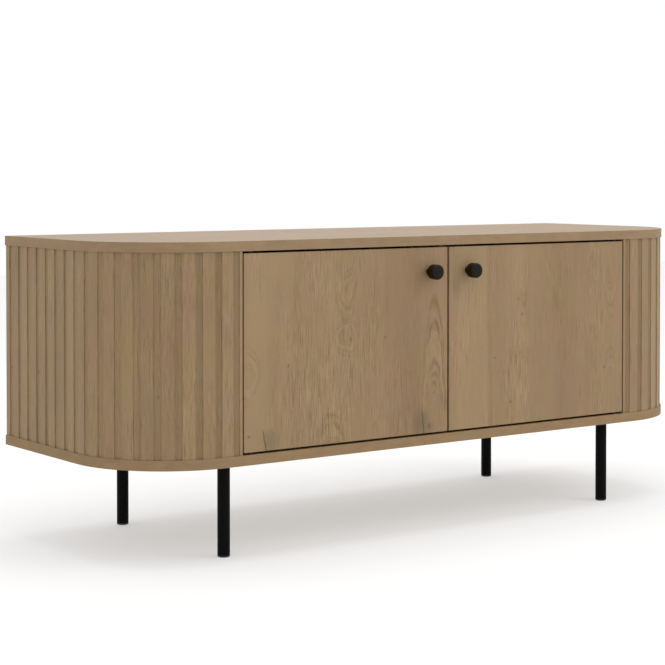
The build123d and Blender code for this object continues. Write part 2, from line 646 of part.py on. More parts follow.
def strike_plate(side):
    """Thin steel plate on the back of the door, facing the magnet."""
    middle = (side * CATCH_X, DOOR_BACK_Y + STRIKE_SIZE[1] / 2, DOOR_HIGH_Z - STRIKE_DROP)
    plate = Pos(*middle) * Box(*STRIKE_SIZE)
    plate = fillet(plate.edges().filter_by(Axis.Y), 2.0)
    return cut_all(plate, strike_screws(side, SEAT_CLEARANCE))


def strike_screws(side, grow):
    """Two flat-head screws holding the strike plate, flush with its face."""
    shank = STRIKE_SCREW_RADIUS + grow
    profile = [(0, 0), (shank + 1.0, 0), (shank, 1.0), (shank, STRIKE_SCREW_LENGTH - 1.5),
               (0, STRIKE_SCREW_LENGTH)]
    flush_y = DOOR_BACK_Y + STRIKE_SIZE[1]
    return [turned(profile, (side * CATCH_X + offset, flush_y, DOOR_HIGH_Z - STRIKE_DROP),
                   (0, -1, 0))
            for offset in (-STRIKE_SCREW_OFFSET, STRIKE_SCREW_OFFSET)]


# ---- legs ----------------------------------------------------------------------------
STUD_RADIUS = 4.0
STUD_REACH = 11.8                # the stud's length above the bottom panel's underside
STUD_CLEARANCE = 0.8             # radial, in the bottom panel
STUD_CHAMFER = 0.8
LEG_CAP = 5.0                    # solid top of the tube
LEG_TOP_CHAMFER = 0.5
GLIDE_LIP = 3.0                  # the part of the glide below the tube's end
GLIDE_ROUND = 2.2
GLIDE_PLUG_TOP = 17.0
PLATE_CORNER = 6.0
PLATE_HOLE_SPACING = 44.0
PLATE_SCREW_RADIUS = 2.0
PLATE_SCREW_HEAD_RADIUS = 3.8
PLATE_SCREW_HEAD_HEIGHT = 2.2
PLATE_SCREW_LENGTH = 15.5


def leg_points():
    """Plan centre of each leg."""
    points = {}
    for name, side in SIDES.items():
        points[f"front_{name}"] = (side * LEG_X, FRONT_Y + LEG_FROM_FRONT)
        points[f"rear_{name}"] = (side * LEG_X, BACK_Y - LEG_FROM_BACK)
    return points


def leg(x, y):
    """Steel tube closed at the top, where its threaded stud stands."""
    top = LEG_HEIGHT - PLATE_THICKNESS
    stud_top = LEG_HEIGHT + STUD_REACH
    inner = LEG_RADIUS - LEG_WALL
    profile = [(inner, GLIDE_LIP), (LEG_RADIUS, GLIDE_LIP), (LEG_RADIUS, top - LEG_TOP_CHAMFER),
               (LEG_RADIUS - LEG_TOP_CHAMFER, top), (STUD_RADIUS, top),
               (STUD_RADIUS, stud_top - STUD_CHAMFER), (STUD_RADIUS - STUD_CHAMFER, stud_top),
               (0, stud_top), (0, top - LEG_CAP), (inner, top - LEG_CAP)]
    return turned(profile, (x, y, 0), (0, 0, 1))


def leg_glide(x, y):
    """Plastic plug in the leg's open end, rounded where it meets the floor."""
    plug = LEG_RADIUS - LEG_WALL - SEAT_CLEARANCE
    flat = LEG_RADIUS - GLIDE_ROUND
    with BuildSketch(Plane.XZ) as section:
        with BuildLine():
            Line((0, 0), (flat, 0))
            RadiusArc((flat, 0), (LEG_RADIUS, GLIDE_ROUND), -GLIDE_ROUND)
            Polyline((LEG_RADIUS, GLIDE_ROUND), (LEG_RADIUS, GLIDE_LIP), (plug, GLIDE_LIP),
                     (plug, GLIDE_PLUG_TOP - 1.0), (plug - 1.0, GLIDE_PLUG_TOP),
                     (0, GLIDE_PLUG_TOP), (0, 0))
        make_face()
    return Pos(x, y, 0) * revolve(section.sketch, Axis.Z)


def plate_screw_points(x, y):
    """Plan points of the four screws of the plate centred at x, y."""
    half = PLATE_HOLE_SPACING / 2
    return [(x + dx, y + dy) for dx in (-half, half) for dy in (-half, half)]


def leg_plate(x, y):
    """Square steel plate under the bottom panel, tapped for the leg's stud."""
    plate = Pos(x, y, LEG_HEIGHT - PLATE_THICKNESS / 2) * Box(
        PLATE_SIDE, PLATE_SIDE, PLATE_THICKNESS)
    plate = fillet(plate.edges().filter_by(Axis.Z), PLATE_CORNER)
    tapped = rod(STUD_RADIUS + SEAT_CLEARANCE, (x, y, LEG_HEIGHT), (0, 0, -1), PLATE_THICKNESS)
    screws = [plate_screw(sx, sy, SEAT_CLEARANCE) for sx, sy in plate_screw_points(x, y)]
    return cut_all(plate, [tapped] + screws)


def plate_screw(x, y, grow):
    """Wood screw up through a leg plate into the bottom panel."""
    shank = PLATE_SCREW_RADIUS + grow
    head = PLATE_SCREW_HEAD_RADIUS + grow
    height = PLATE_SCREW_HEAD_HEIGHT
    profile = [(0, -height), (head - 1.2, -height), (head, -1.0), (head, 0), (shank, 0),
               (shank, PLATE_SCREW_LENGTH - 2.5), (0, PLATE_SCREW_LENGTH)]
    return turned(profile, (x, y, LEG_HEIGHT - PLATE_THICKNESS), (0, 0, 1))


# ---- writing -------------------------------------------------------------------------
def write_carcass():
    write("top_panel", top_panel())
    write("bottom_panel", bottom_panel())
    write("centre_partition", centre_partition())
    write("dowels", dowels(DOWEL_RADIUS))
    write("confirmat_screws", [confirmat(x, y, 0) for x, y in confirmat_points()])
    write("cam_bolts", [cam_bolt(x, y, 0) for x, y, _ in cam_points()])
    write("cam_locks", [cam_lock(x, y, inward) for x, y, inward in cam_points()])
    write("back_panel_screws", back_screws(0))
    write("shelf_pins", shelf_pins(0))
    write("pivot_pins", pivot_pins())
    write("door_bumpers", door_bumpers())
    write("catch_screws", [s for side in SIDES.values() for s in catch_screws(side, 0)])


def write_side(name, side):
    write(f"{name}_fluted_side", fluted_side(side))
    write(f"{name}_inner_side", inner_side(side))
    write(f"{name}_back_panel", back_panel(side))
    write(f"{name}_shelf", shelf(side))
    write(f"{name}_magnet_catch", magnet_catch(side))
    write(f"{name}_catch_magnet", magnet_block(side, 0))
    write(f"{name}_door", door(side))
    write(f"{name}_door_bushes", door_bushes(side))
    write(f"{name}_knob", knob(side))
    write(f"{name}_knob_screw", knob_screw(side))
    write(f"{name}_strike_plate", strike_plate(side))
    write(f"{name}_strike_screws", strike_screws(side, 0))


def write_legs():
    screws = []
    for name, (x, y) in leg_points().items():
        write(f"{name}_leg", leg(x, y))
        write(f"{name}_leg_glide", leg_glide(x, y))
        write(f"{name}_leg_plate", leg_plate(x, y))
        screws += [plate_screw(sx, sy, 0) for sx, sy in plate_screw_points(x, y)]
    write("leg_plate_screws", screws)


os.makedirs("parts", exist_ok=True)
write_carcass()
for side_name, side_sign in SIDES.items():
    write_side(side_name, side_sign)
write_legs()
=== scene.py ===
"""The media cabinet's looks: camera, floor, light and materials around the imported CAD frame.

Metres, in the CAD frame: +X to the right along the front, +Y to the back, +Z up.
Colours are linear, and noise scales are in cycles per metre.
"""

import math
from collections import namedtuple

import bpy
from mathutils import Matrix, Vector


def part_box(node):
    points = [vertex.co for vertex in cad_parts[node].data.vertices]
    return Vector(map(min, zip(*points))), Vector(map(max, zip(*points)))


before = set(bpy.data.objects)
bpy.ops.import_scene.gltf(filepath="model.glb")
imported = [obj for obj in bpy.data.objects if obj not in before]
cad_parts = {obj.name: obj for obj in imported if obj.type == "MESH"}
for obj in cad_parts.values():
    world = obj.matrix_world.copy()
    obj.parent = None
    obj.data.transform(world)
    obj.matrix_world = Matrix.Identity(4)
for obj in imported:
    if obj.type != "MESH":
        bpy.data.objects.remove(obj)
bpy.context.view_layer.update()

# ---- camera: nearly level, with its lens shifted down, so uprights stay almost parallel ----
LENS_MM = 97.078737
SENSOR_MM = 36.0
CLIP_END = 50.0
SLAB_LOW, SLAB_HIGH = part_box("top_panel")
SLAB_MIDDLE_Y = (SLAB_LOW.y + SLAB_HIGH.y) / 2
CAMERA_AT = (-1.9264, SLAB_MIDDLE_Y - 2.5194, 0.6064)
CAMERA_TURN = math.radians(-36.108)
CAMERA_PITCH = math.radians(90.0 - 1.244)
SHIFT_DOWN = -0.185

# ---- light and floor -----------------------------------------------------------------
WHITE = (1.0, 1.0, 1.0, 1.0)
SKY_STRENGTH = 1.0
KEY_WATTS = 26.0
KEY_FROM = (2.1, -2.4, 2.4)
KEY_SIZE = 1.6
TOP_WATTS = 21.0
TOP_FROM = (0.0, 0.0, 2.4)
TOP_SIZE = 2.0
FLOOR_SIZE = 14.0
FLOOR_COLOUR = (0.52, 0.52, 0.52, 1.0)
FLOOR_ROUGHNESS = 0.9
FLOOR_SHINE = 0.1
FLOOR_GLOW = 0.40

# ---- the fluted sides' outline: the radius, pitch and first groove repeat the part's own ----
SKIN_LOW, SKIN_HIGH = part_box("right_fluted_side")
RIDGE_RADIUS = 0.168             # plan radius of the ridges round the front corner
ARC_X = SKIN_HIGH.x - RIDGE_RADIUS
ARC_Y = SKIN_LOW.y + RIDGE_RADIUS
NEARLY_NOTHING = 0.0001          # keeps the angle round the corner defined
FLUTE_PITCH = 0.03203
FIRST_GROOVE = 0.0184            # its middle, round the outline from the back edge
GROOVE_HALF = 0.0062
GROOVE_CORE = GROOVE_HALF * 0.4  # the painted groove shade is darkest this near a groove's middle
GROOVE_SHADES = (0.05, 0.28)     # shade painted into the grooves, mostly near the doors
DARK_GROOVES = (0.40, 0.47)      # the painted groove shade comes in between these distances
RIDGE_TONE = 0.07
RIDGE_WARMTH = 0.06
SKIN_WARMTH = -0.05
RIDGE_JUMP = (3.7, 9.1)          # how far apart in the wood two ridges' grain may come from
TONE_LOT = 31.0                  # spread the seeds of the ridges' random lots
WARMTH_LOT = 57.0

# ---- oak: colours, from dark to light ------------------------------------------------
OAK_GOLD = ((0.141, 0.085, 0.033, 1.0), (0.251, 0.167, 0.082, 1.0), (0.367, 0.257, 0.141, 1.0))
OAK_ROSE = ((0.145, 0.083, 0.036, 1.0), (0.256, 0.162, 0.086, 1.0), (0.371, 0.251, 0.146, 1.0))
OAK_ASH = ((0.135, 0.084, 0.038, 1.0), (0.243, 0.164, 0.088, 1.0), (0.357, 0.253, 0.147, 1.0))
ROSY_SPAN = (0.38, 0.62)         # hue noise over which gold turns to rose
ASHEN_SPAN = (0.46, 0.64)
ASHEN_MOST = 0.8
BARK = (0.058, 0.033, 0.013, 1.0)
SPLIT = (0.052, 0.031, 0.018, 1.0)
SMOKE = (0.110, 0.078, 0.054, 1.0)
# the colour of the shade painted into the groove floors
GROOVE_SHADE_COLOUR = (0.062, 0.038, 0.011, 1.0)
KNOT_DEPTH = 0.50                # how far a knot's colour goes over to bark
SPLIT_DEPTH = 0.72

# ---- oak: noises drawn out along the grain -------------------------------------------
# fineness is the scale across the grain, and length the scale along it
Streak = namedtuple("Streak", "fineness length seed detail rough", defaults=(3.0, 0.6))
SWAY = Streak(8.0, 2.8, 0.0, 2.0)             # slow sideways drift of every line
SHIVER = Streak(70.0, 55.0, 3.0)              # small wobble of every line
LIVELY = Streak(14.0, 6.0, 19.0, 1.0)         # where the grain shows more, or less
PATCH = Streak(9.0, 5.0, 5.0, 1.0, 0.5)       # soft light and dark areas
BROAD = Streak(15.0, 1.2, 7.0, 2.0)           # wide light and dark stretches
MIDDLING = Streak(95.0, 5.0, 11.0, 2.0)
FINE = Streak(520.0, 30.0, 13.0, 2.0)
DARK_LINE = Streak(460.0, 13.0, 15.0, 1.0)
PALE_LINE = Streak(420.0, 10.0, 16.0, 1.0)
PORE = Streak(640.0, 90.0, 17.0, 1.0)
HUE = Streak(16.0, 9.0, 29.0, 2.0, 0.5)
HAZE = Streak(22.0, 13.0, 31.0, 2.0, 0.5)
EDGE_FINE = Streak(420.0, 9.0, 41.0)
EDGE_WIDE = Streak(60.0, 26.0, 43.0)
EDGE_SEED = 45.0                              # an edge band is another piece of wood
ARCH_BEND = Streak(26.0, 14.0, 4.0, 1.0)
ARCH_RAG = Streak(60.0, 30.0, 6.0)
ARCH_BREAK = Streak(60.0, 35.0, 8.0, 1.0)

SWAY_REACH = 0.006               # metres to each side
SHIVER_REACH = 0.0014
LIVELY_SPAN = (0.38, 0.62, 0.45, 1.25)  # noise from and to, and how strong the grain is there
DARK_LINE_SPAN = (0.40, 0.31)    # noise over which a line goes from absent to full
PALE_LINE_SPAN = (0.60, 0.70)
PORE_SPAN = (0.42, 0.28)
TONE_LIFT = 0.035                # makes up for the dark lines and pores
PATCH_TONE = 0.10
BROAD_TONE = 0.14
MIDDLING_TONE = 0.05
FINE_TONE = 0.32
DARK_LINE_TONE = -0.20
PALE_LINE_TONE = 0.10
PORE_TONE = -0.10
EDGE_FINE_TONE = 0.12
EDGE_WIDE_TONE = 0.20
BAND_FADE = (0.60, 0.40)         # from a band's middle, in widths: where it begins, and is full

OAK_ROUGHNESS = 0.52
OAK_SHINE = 0.25
TOP_ROUGHNESS = 0.46
TOP_SHINE = 0.45
EDGE_DULLNESS = 0.30             # edge bands are rougher than the faces
EDGE_SPAN = (0.4, 0.7)           # upward part of the normal, from edge to face
BROAD_ROUGHNESS = 0.05
PORE_ROUGHNESS = 0.12
FINE_RELIEF = 0.5
PORE_RELIEF = 0.8
OAK_RELIEF_STRENGTH = 0.25
OAK_RELIEF_HEIGHT = 0.0004       # metres

# ---- oak: arches, burls and marks ----------------------------------------------------
ARCH_POWER = 2.6                 # over 2, so that an arch is blunt on top with long steep legs
ARCH_TAIL = (-0.032, 0.012)      # an arch fades in from behind its heart to just ahead of it
ARCH_LEAN = (0.75, 1.25)         # one leg is fainter than the other
ARCH_SHIVER_REACH = 0.0036
ARCH_BEND_REACH = 0.0060
ARCH_RAG_REACH = 0.014
ARCH_BREAK_SPAN = (0.35, 0.55, 0.35, 1.15)  # noise from and to, and an arch's strength there
RING_TONES = (                   # brightness from a cathedral's heart to its outermost ring
    (0.00, 0.54), (0.16, 0.58), (0.21, 0.34), (0.26, 0.60), (0.33, 0.28), (0.38, 0.62),
    (0.46, 0.18), (0.50, 0.62), (0.55, 0.18), (0.59, 0.62), (0.64, 0.16), (0.68, 0.60),
    (0.79, 0.66), (0.84, 0.02), (0.87, 0.60), (0.92, 0.12), (0.96, 0.54), (1.00, 0.50),
)
CRACK_SWAY = (60.0, 0.0030)      # cycles per metre along it, metres to each side
CRACK_RIMS = (0.0017, 0.0003)    # half widths where it starts to show and is full
SPOT_CORE = 0.1                  # part of a round mark's size that has its full colour

# On the doors across is X and along is Z. An eye's way is 1 for arches that point up, -1 for
# arches that point down, and 0 for a closed burl.
Eye = namedtuple("Eye", "across along half_width reach way strength")
Knot = namedtuple("Knot", "across along size stretch")
Smudge = namedtuple("Smudge", "across along size stretch amount")
Crack = namedtuple("Crack", "across along length lean")
Band = namedtuple("Band", "low high tone liveliness warmth")

LEFT_EYES = (
    Eye(-0.4040, 0.288, 0.026, 0.056, 0, 0.14),
    Eye(-0.2140, 0.455, 0.030, 0.110, -1, 0.18),
    Eye(-0.2110, 0.338, 0.030, 0.036, 0, 0.18),
    Eye(-0.2400, 0.160, 0.032, 0.068, 1, 0.20),
    Eye(-0.0300, 0.225, 0.0275, 0.202, 1, 0.36),
)
LEFT_KNOTS = (
    Knot(-0.3260, 0.300, 0.0036, 1.2),
    Knot(-0.4010, 0.194, 0.0040, 1.0),
    Knot(-0.2040, 0.335, 0.0034, 2.4),
    Knot(-0.1340, 0.334, 0.0030, 1.4),
    Knot(-0.0410, 0.181, 0.0050, 1.6),
)
LEFT_CRACKS = (Crack(-0.3710, 0.184, 0.044, -0.20), Crack(-0.0540, 0.187, 0.052, -0.10))
LEFT_SMUDGES = (
    Smudge(-0.3590, 0.184, 0.026, 1.1, 0.34),
    Smudge(-0.0580, 0.188, 0.026, 1.5, 0.50),
    Smudge(-0.0400, 0.180, 0.013, 1.6, 0.30),
)
LEFT_BANDS = (
    Band(-0.409, -0.325, 0.06, -0.35, -0.08),
    Band(-0.316, -0.301, -0.03, 0.2, 0.0),
    Band(-0.298, -0.190, 0.03, 0.45, -0.05),
    Band(-0.135, -0.062, -0.09, -0.20, 0.12),
    Band(-0.058, -0.002, 0.02, 0.0, 0.04),
)
RIGHT_EYES = (
    Eye(0.1690, 0.440, 0.018, 0.080, -1, 0.16),
    Eye(0.3800, 0.425, 0.021, 0.100, -1, 0.18),
    Eye(0.3790, 0.230, 0.018, 0.070, 1, 0.14),
)
RIGHT_KNOTS = (
    Knot(0.1662, 0.3585, 0.0034, 1.0),
    Knot(0.1576, 0.3849, 0.0030, 1.6),
    Knot(0.1026, 0.2862, 0.0034, 0.7),
    Knot(0.1392, 0.2081, 0.0036, 1.0),
    Knot(0.3646, 0.2539, 0.0036, 1.0),
)
RIGHT_SMUDGES = (
    Smudge(0.0179, 0.4060, 0.014, 2.0, 0.22),
    Smudge(0.2450, 0.3700, 0.024, 1.0, 0.08),
)
RIGHT_BANDS = (
    Band(0.022, 0.088, 0.07, -0.2, -0.10),
    Band(0.089, 0.098, -0.07, 0.0, 0.05),
    Band(0.130, 0.178, 0.04, 0.2, -0.03),
    Band(0.178, 0.240, 0.0, -0.2, 0.0),
    Band(0.240, 0.325, -0.05, -0.3, 0.08),
    Band(0.327, 0.356, 0.0, 0.5, 0.0),
    Band(0.358, 0.402, 0.03, -0.1, -0.05),
)
LEFT_SKIN_KNOTS = (              # across is the distance round the outline from the back edge
    Knot(0.0165, 0.2799, 0.0044, 0.9),
    Knot(0.1130, 0.2805, 0.0050, 0.8),
    Knot(0.4040, 0.2625, 0.0026, 1.3),
)

# ---- metal, plastic and beech --------------------------------------------------------
COAT_BLACK = (0.0015, 0.0015, 0.0015, 1.0)
KNOB_BRONZE = (0.0072, 0.0042, 0.0022, 1.0)
OXIDE_BLACK = (0.010, 0.010, 0.010, 1.0)
PLASTIC_BLACK = (0.008, 0.008, 0.009, 1.0)
NYLON_BLACK = (0.012, 0.012, 0.012, 1.0)
RUBBER_BLACK = (0.03, 0.03, 0.03, 1.0)
ZINC_STOPS = ((0.2, (0.42, 0.42, 0.41, 1.0)), (0.8, (0.70, 0.70, 0.68, 1.0)))
FERRITE_STOPS = ((0.35, (0.030, 0.030, 0.033, 1.0)), (0.7, (0.075, 0.075, 0.08, 1.0)))
BEECH_STOPS = ((0.3, (0.36, 0.23, 0.13, 1.0)), (0.6, (0.58, 0.42, 0.27, 1.0)))
ZINC_ROUGHNESS = (0.28, 0.45)    # at the darkest and lightest streaks
ZINC_STREAK = (900.0, 900.0, 120.0)  # scales along X, Y and Z
BEECH_FIBRE = (900.0, 900.0, 70.0)
COAT_PEEL = 1400.0
COAT_CLOUD = 60.0
COAT_CLOUD_MOST = 0.5            # how far a cloud goes over to the brighter colour
COAT_CLOUD_BRIGHTER = 1.7
MOULDED_GRIT = 700.0
MOULDED_CLOUD = 45.0
MOULDED_CLOUD_BRIGHTER = 1.25
MAGNET_SPECK = 2200.0
GRAIN_HEIGHT = 0.0002            # of their fine surface grain, metres
BEECH_GRAIN_HEIGHT = 0.0003


class Graph:
    """A material's node tree, written as plain calls. Numbers and sockets mix freely."""

    def __init__(self, name):
        self.material = bpy.data.materials.new(name)
        self.material.use_nodes = True
        self.tree = self.material.node_tree
        self.tree.nodes.clear()

    def node(self, kind, inputs=(), **settings):
        """A node with these settings, its inputs fed by name."""
        made = self.tree.nodes.new(kind)
        for key, value in settings.items():
            setattr(made, key, value)
        for key, value in dict(inputs).items():
            self.feed(made.inputs[key], value)
        return made

    def feed(self, socket, value):
        """Links a socket to an input, or sets the input to a number or colour."""
        if isinstance(value, bpy.types.NodeSocket):
            self.tree.links.new(value, socket)
        else:
            socket.default_value = value

    def math(self, operation, *values):
        """One math node."""
        made = self.node("ShaderNodeMath", operation=operation)
        for socket, value in zip(made.inputs, values):
            self.feed(socket, value)
        return made.outputs[0]

    def add(self, *values):
        total = values[0]
        for value in values[1:]:
            total = self.math("ADD", total, value)
        return total

    def times(self, a, b):
        return self.math("MULTIPLY", a, b)

    def minus(self, a, b):
        return self.math("SUBTRACT", a, b)

    def absolute(self, value):
        return self.math("ABSOLUTE", value)

    def vector(self, x, y, z):
        """Three numbers as one vector."""
        return self.node("ShaderNodeCombineXYZ", {"X": x, "Y": y, "Z": z}).outputs[0]

    def place(self):
        """The point's three coordinates in the piece's own frame."""
        coords = self.node("ShaderNodeTexCoord").outputs["Object"]
        return self.node("ShaderNodeSeparateXYZ", {"Vector": coords}).outputs

    def noise(self, vector, scale, detail, rough=0.5):
        """Smooth noise of mean about 0.5."""
        inputs = {"Vector": vector, "Scale": scale, "Detail": detail, "Roughness": rough}
        return self.node("ShaderNodeTexNoise", inputs, noise_dimensions="3D").outputs[0]

    def noise_line(self, w, scale):
        """Smooth noise along one line."""
        inputs = {"W": w, "Scale": scale, "Detail": 2.0, "Roughness": 0.5}
        return self.node("ShaderNodeTexNoise", inputs, noise_dimensions="1D").outputs[0]

    def random(self, w):
        """A fixed random number from 0 to 1 for each whole value of w."""
        return self.node("ShaderNodeTexWhiteNoise", {"W": w}, noise_dimensions="1D").outputs[0]

    def fade(self, value, low, high, out_low=0.0, out_high=1.0):
        """Smooth step of value between low and high."""
        inputs = {"Value": value, "From Min": low, "From Max": high,
                  "To Min": out_low, "To Max": out_high}
        made = self.node("ShaderNodeMapRange", inputs, interpolation_type="SMOOTHSTEP")
        return made.outputs[0]

    def swing(self, value, amount):
        """Noise value turned into a swing of plus or minus amount."""
        return self.times(self.minus(value, 0.5), 2.0 * amount)

    def blend(self, factor, first, second):
        """The first colour at factor 0, and the second at 1."""
        made = self.node("ShaderNodeMix", data_type="RGBA", clamp_factor=True)
        factor_socket = made.inputs[0]
        first_colour, second_colour = made.inputs[6], made.inputs[7]
        self.feed(factor_socket, factor)
        self.feed(first_colour, first)
        self.feed(second_colour, second)
        return made.outputs[2]

    def ramp(self, factor, stops):
        """Colour along a row of (position, colour) stops."""
        made = self.node("ShaderNodeValToRGB", {"Fac": factor})
        elements = made.color_ramp.elements
        while len(elements) < len(stops):
            elements.new(0.5)
        for element, (position, colour) in zip(elements, stops):
            element.position = position
            element.color = colour
        return made.outputs[0]

    def bump(self, height, strength, distance):
        """Normal bent by a height from 0 to 1; distance is that height in metres."""
        inputs = {"Height": height, "Strength": strength, "Distance": distance}
        return self.node("ShaderNodeBump", inputs).outputs[0]

    def finish(self, colour, roughness, normal=None, **fixed):
        """Shader and output; fixed are constants set on the shader's own sockets."""
        inputs = {"Base Color": colour, "Roughness": roughness}
        shader = self.node("ShaderNodeBsdfPrincipled", inputs)
        for key, value in fixed.items():
            shader.inputs[key.replace("_", " ")].default_value = value
        if normal is not None:
            self.feed(shader.inputs["Normal"], normal)
        output = self.node("ShaderNodeOutputMaterial", {"Surface": shader.outputs[0]})
        output.is_active_output = True
        return self.material


# ---- oak: where a point is -----------------------------------------------------------
def grain_axes(g, run):
    """(across, along) for a board whose grain runs along X, along Z or round a skin."""
    x, y, z = g.place()
    if run == "x":
        return y, x
    if run == "z":
        return x, z
    if run == "z_side":
        return y, z
    return wrap_distance(g, x, y), z


def wrap_distance(g, x, y):
    """Distance round a fluted skin's outline from its back edge, in plan."""
    reach = g.absolute(x)
    side = g.minus(SKIN_HIGH.y, g.math("MAXIMUM", y, ARC_Y))
    forward = g.math("MAXIMUM", g.minus(ARC_Y, y), 0.0)
    outward = g.math("MAXIMUM", g.minus(reach, ARC_X), NEARLY_NOTHING)
    turn = g.times(g.math("ARCTAN2", forward, outward), RIDGE_RADIUS)
    front = g.math("MAXIMUM", g.minus(ARC_X, reach), 0.0)
    return g.add(side, turn, front)


def streaks(g, across, along, kind, seed):
    """One kind of noise, drawn out along the grain."""
    point = g.vector(g.times(across, kind.fineness), g.times(along, kind.length),
                     seed + kind.seed)
    return g.noise(point, 1.0, kind.detail, kind.rough)


# ---- oak: what changes its tone ------------------------------------------------------
def ridge_lots(g, across, along, seed):
    """Each ridge gets grain from another place in the wood, and a tone and warmth of its own."""
    from_first_ridge = g.minus(across, FIRST_GROOVE + FLUTE_PITCH / 2)
    ridge = g.math("ROUND", g.math("DIVIDE", from_first_ridge, FLUTE_PITCH))
    lot = g.random(g.add(ridge, TONE_LOT * seed))
    warm_lot = g.random(g.add(ridge, WARMTH_LOT * seed))
    tone = g.add(0.5, g.swing(lot, RIDGE_TONE))
    warmth = g.add(g.swing(warm_lot, RIDGE_WARMTH), SKIN_WARMTH)
    jump_across, jump_along = RIDGE_JUMP
    across = g.add(across, g.times(lot, jump_across))
    along = g.add(along, g.times(lot, jump_along))
    return across, along, tone, warmth


def painted_groove_shade(g, across):
    """How far painted shade darkens a groove's floor, zero on the ridges."""
    from_groove = g.math("PINGPONG", g.minus(across, FIRST_GROOVE), FLUTE_PITCH / 2)
    deepest = g.fade(across, *DARK_GROOVES, *GROOVE_SHADES)
    return g.times(g.fade(from_groove, GROOVE_HALF, GROOVE_CORE), deepest)


def banded(g, flow, bands, tone, lively, warmth):
    """Adds what each band along the grain changes."""
    begins, full = BAND_FADE
    for band in bands:
        width = band.high - band.low
        from_middle = g.absolute(g.minus(flow, (band.low + band.high) / 2))
        inside = g.fade(from_middle, width * begins, width * full)
        tone = g.add(tone, g.times(inside, band.tone))
        lively = g.add(lively, g.times(inside, band.liveliness))
        warmth = g.add(warmth, g.times(inside, band.warmth))
    return tone, lively, warmth


def cathedral(g, across, along, eye):
    """Tone change of one set of nested arches, zero outside its outermost ring."""
    aside = g.minus(across, eye.across)
    ahead = g.minus(along, eye.along)
    if eye.way:
        ahead = g.times(ahead, eye.way)
        tail = g.fade(ahead, *ARCH_TAIL)
    else:
        ahead = g.absolute(ahead)
        tail = 1.0
    width_part = g.math("POWER", g.absolute(g.times(aside, 1 / eye.half_width)), ARCH_POWER)
    rise_part = g.times(g.math("MAXIMUM", ahead, 0.0), 1 / eye.reach)
    ring = g.math("POWER", g.add(width_part, rise_part), 1 / ARCH_POWER)
    stops = [(place, (value, value, value, 1.0)) for place, value in RING_TONES]
    lopsided = g.fade(aside, -eye.half_width, eye.half_width, *ARCH_LEAN)
    return g.times(g.swing(g.ramp(ring, stops), eye.strength), g.times(tail, lopsided))


def arched(g, across, along, flow, shiver, eyes, tone, seed):
    """Adds the arches and burls, with torn and wavering lines."""
    bend = streaks(g, across, along, ARCH_BEND, seed)
    rag = streaks(g, across, along, ARCH_RAG, seed)
    jagged = g.add(flow, g.swing(shiver, ARCH_SHIVER_REACH), g.swing(bend, ARCH_BEND_REACH))
    ragged = g.add(along, g.swing(rag, ARCH_RAG_REACH))
    broken = g.fade(streaks(g, across, along, ARCH_BREAK, seed), *ARCH_BREAK_SPAN)
    for eye in eyes:
        tone = g.add(tone, g.times(cathedral(g, jagged, ragged, eye), broken))
    return tone


# ---- oak: its colour -----------------------------------------------------------------
def oak_ramp(g, tone, colours):
    """Oak colour for a tone from 0, dark, to 1, light."""
    shade, middle, light = colours
    return g.ramp(tone, ((0.0, shade), (0.5, middle), (1.0, light)))


def oak_colour(g, across, along, tone, warmth, seed):
    """Oak at this tone, drifting between golden, rosy and ashen from place to place."""
    hue = streaks(g, across, along, HUE, seed)
    haze = streaks(g, across, along, HAZE, seed)
    rosy = g.fade(g.add(hue, warmth), *ROSY_SPAN)
    ashen = g.fade(haze, *ASHEN_SPAN, 0.0, ASHEN_MOST)
    colour = g.blend(rosy, oak_ramp(g, tone, OAK_GOLD), oak_ramp(g, tone, OAK_ROSE))
    return g.blend(ashen, colour, oak_ramp(g, tone, OAK_ASH))


def spot(g, across, along, mark):
    """1 at a small mark's middle, fading to 0 at its rim."""
    sideways = g.minus(across, mark.across)
    lengthways = g.math("DIVIDE", g.minus(along, mark.along), mark.stretch)
    squares = g.add(g.times(sideways, sideways), g.times(lengthways, lengthways))
    return g.fade(g.math("SQRT", squares), mark.size, mark.size * SPOT_CORE)


def split_line(g, across, along, crack):
    """A fine split along the grain, with a wandering line and tapered ends."""
    cycles, reach = CRACK_SWAY
    ahead = g.minus(along, crack.along)
    sway = g.swing(g.noise_line(along, cycles), reach)
    line = g.add(crack.across, g.times(ahead, crack.lean), sway)
    aside = g.absolute(g.minus(across, line))
    taper = g.fade(g.absolute(ahead), crack.length / 2, crack.length / 4)
    return g.times(g.fade(aside, *CRACK_RIMS), taper)


def strongest(g, masks):
    """The largest of several masks."""
    result = masks[0]
    for mask in masks[1:]:
        result = g.math("MAXIMUM", result, mask)
    return result


def add_marks(g, across, along, colour, knots, cracks, smudges):
    """Colour with its smudges, knots and splits."""
    if smudges:
        shades = [g.times(spot(g, across, along, smudge), smudge.amount) for smudge in smudges]
        colour = g.blend(strongest(g, shades), colour, SMOKE)
    if knots:
        dots = [spot(g, across, along, knot) for knot in knots]
        colour = g.blend(g.times(strongest(g, dots), KNOT_DEPTH), colour, BARK)
    if cracks:
        lines = [split_line(g, across, along, crack) for crack in cracks]
        colour = g.blend(g.times(strongest(g, lines), SPLIT_DEPTH), colour, SPLIT)
    return colour


def flat_face(g):
    """1 on a board's flat faces, 0 on its edges."""
    normal = g.node("ShaderNodeNewGeometry").outputs["Normal"]
    upward = g.node("ShaderNodeSeparateXYZ", {"Vector": normal}).outputs[2]
    return g.fade(g.absolute(upward), *EDGE_SPAN)


def edge_band(g, face, face_colour, seed):
    """Edge band: the grain lines run along the board's edge."""
    x, y, z = g.place()
    run = g.minus(x, y)
    fine = streaks(g, z, run, EDGE_FINE, seed)
    wide = streaks(g, z, run, EDGE_WIDE, seed)
    tone = g.add(0.5, g.swing(fine, EDGE_FINE_TONE), g.swing(wide, EDGE_WIDE_TONE))
    return g.blend(face, oak_colour(g, z, run, tone, 0.0, seed + EDGE_SEED), face_colour)


